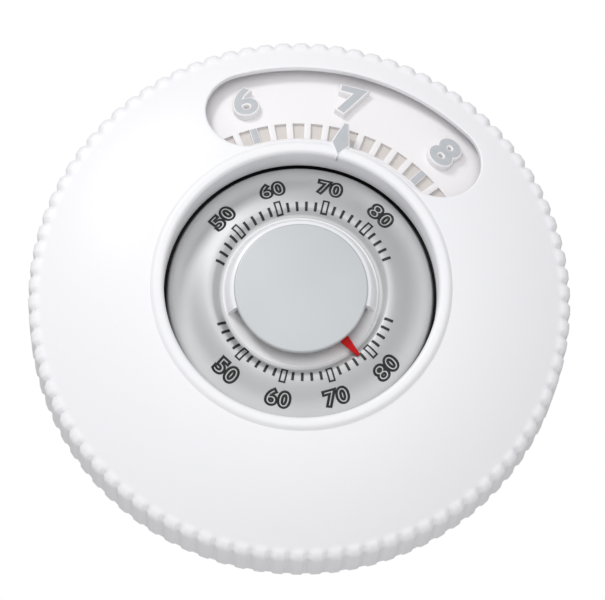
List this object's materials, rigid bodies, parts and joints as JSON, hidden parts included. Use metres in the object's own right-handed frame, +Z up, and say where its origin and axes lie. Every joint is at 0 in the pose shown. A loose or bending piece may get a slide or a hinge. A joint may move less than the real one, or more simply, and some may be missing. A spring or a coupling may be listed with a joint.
{
  "type": "wall thermostat",
  "caption": "Round wall thermostat: a fluted outer ring turns to set the temperature on a raised scale seen through its window, round a fixed silver dial with a thermometer pointer.",
  "frame": {"origin": "centre of the wall plate's back face, on the wall, on the axis of the dial", "axes": "+X right as seen from the front, +Y into the wall, +Z up; the dial faces -Y"},
  "size_m": [0.135, 0.032, 0.135],
  "materials": {
    "white_abs": "satin",
    "scale_abs": "satin",
    "silver_dial": "satin",
    "hub_grey": "satin",
    "pointer_red": "satin",
    "chassis_abs": "moulded",
    "wall_plate_abs": "moulded",
    "black_nylon": "moulded",
    "natural_acetal": "moulded",
    "zinc_steel": "plated",
    "spring_steel": "bright",
    "brass": "bright",
    "bimetal": "rolled",
    "board_green": "solder mask",
    "relay_blue": "moulded",
    "chip_black": "moulded",
    "bead_brown": "glazed"
  },
  "bodies": {
    "case": {"wall_plate": "wall_plate_abs", "terminal_block": "black_nylon", "terminal_clips": "brass", "terminal_screws": "brass", "chassis": "chassis_abs", "captive_screws": "zinc_steel", "circuit_board": "board_green", "board_screws": "zinc_steel", "contact_pins": "brass", "relay": "relay_blue", "capacitor": "chip_black", "control_chip": "chip_black", "resistors": "chip_black", "thermistor": "bead_brown", "potentiometer_body": "black_nylon", "retainer": "zinc_steel", "dial_screws": "zinc_steel", "detent_spring": "spring_steel", "scale_plate": "scale_abs", "scale_screws": "zinc_steel", "dial_plate": "silver_dial", "coil_post": "brass", "bimetal_coil": "bimetal", "hub_cap": "hub_grey"},
    "set_ring": {"set_ring": "white_abs", "drive_ring": "black_nylon"},
    "pinion": {"pinion": "natural_acetal", "potentiometer_shaft": "natural_acetal"},
    "thermometer": {"red_pointer": "pointer_red"}
  },
  "joints": [
    {"name": "set_ring_turn", "type": "hinge", "parent": "case", "child": "set_ring", "pos_m": [0, 0, 0], "axis": [0, 1, 0], "range_deg": [-91.5, 58.5]},
    {"name": "pinion_turn", "type": "hinge", "parent": "case", "child": "pinion", "pos_m": [-0.01549, 0, -0.01549], "axis": [0, 1, 0], "range_deg": [-113, 176.5]},
    {"name": "thermometer_turn", "type": "hinge", "parent": "case", "child": "thermometer", "pos_m": [0, 0, 0], "axis": [0, -1, 0], "range_deg": [-102, 24], "stiffness_Nm_per_rad": 0.0002}
  ],
  "couplings": [
    {"joint": "pinion_turn", "follows": "set_ring_turn", "ratio": -1.92}
  ]
}
